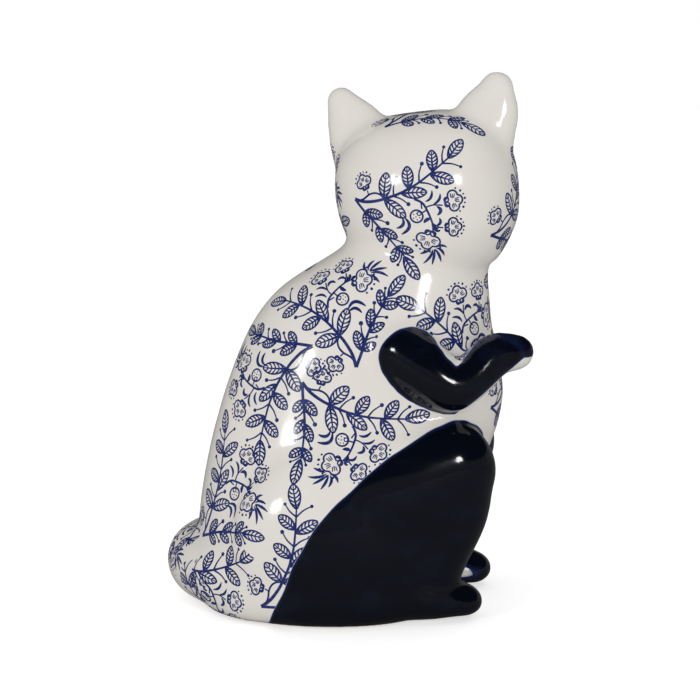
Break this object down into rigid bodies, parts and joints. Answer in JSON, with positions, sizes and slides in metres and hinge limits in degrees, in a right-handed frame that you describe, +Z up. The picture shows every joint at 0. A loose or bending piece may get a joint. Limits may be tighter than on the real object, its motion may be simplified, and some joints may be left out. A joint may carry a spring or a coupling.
{
  "type": "cat figurine",
  "caption": "Ceramic cat figurine sitting up on its haunches with bent forelegs and head turned aside, dark cobalt legs and blue leafy sprigs on warm white glaze.",
  "frame": {"origin": "middle of the bounding box, on the ground under the felt pads", "axes": "+Z up, -Y the way the body faces, +X towards the cat's left"},
  "size_m": [0.1496, 0.1924, 0.2802],
  "materials": {
    "white_glaze": "warm white glossy glaze over slip-cast stoneware, printed with blue sprigs",
    "cobalt_glaze": "near-black cobalt glossy glaze, brushed",
    "felt": "dense grey felt"
  },
  "bodies": {
    "root": {"torso_casting": "white_glaze", "head_casting": "white_glaze", "tail_casting": "white_glaze", "right_hind_leg_casting": "cobalt_glaze", "left_hind_leg_casting": "cobalt_glaze", "right_foreleg_casting": "cobalt_glaze", "left_foreleg_casting": "cobalt_glaze", "felt_pad_front_right": "felt", "felt_pad_front_left": "felt", "felt_pad_rear_right": "felt", "felt_pad_rear_left": "felt"}
  },
  "joints": []
}
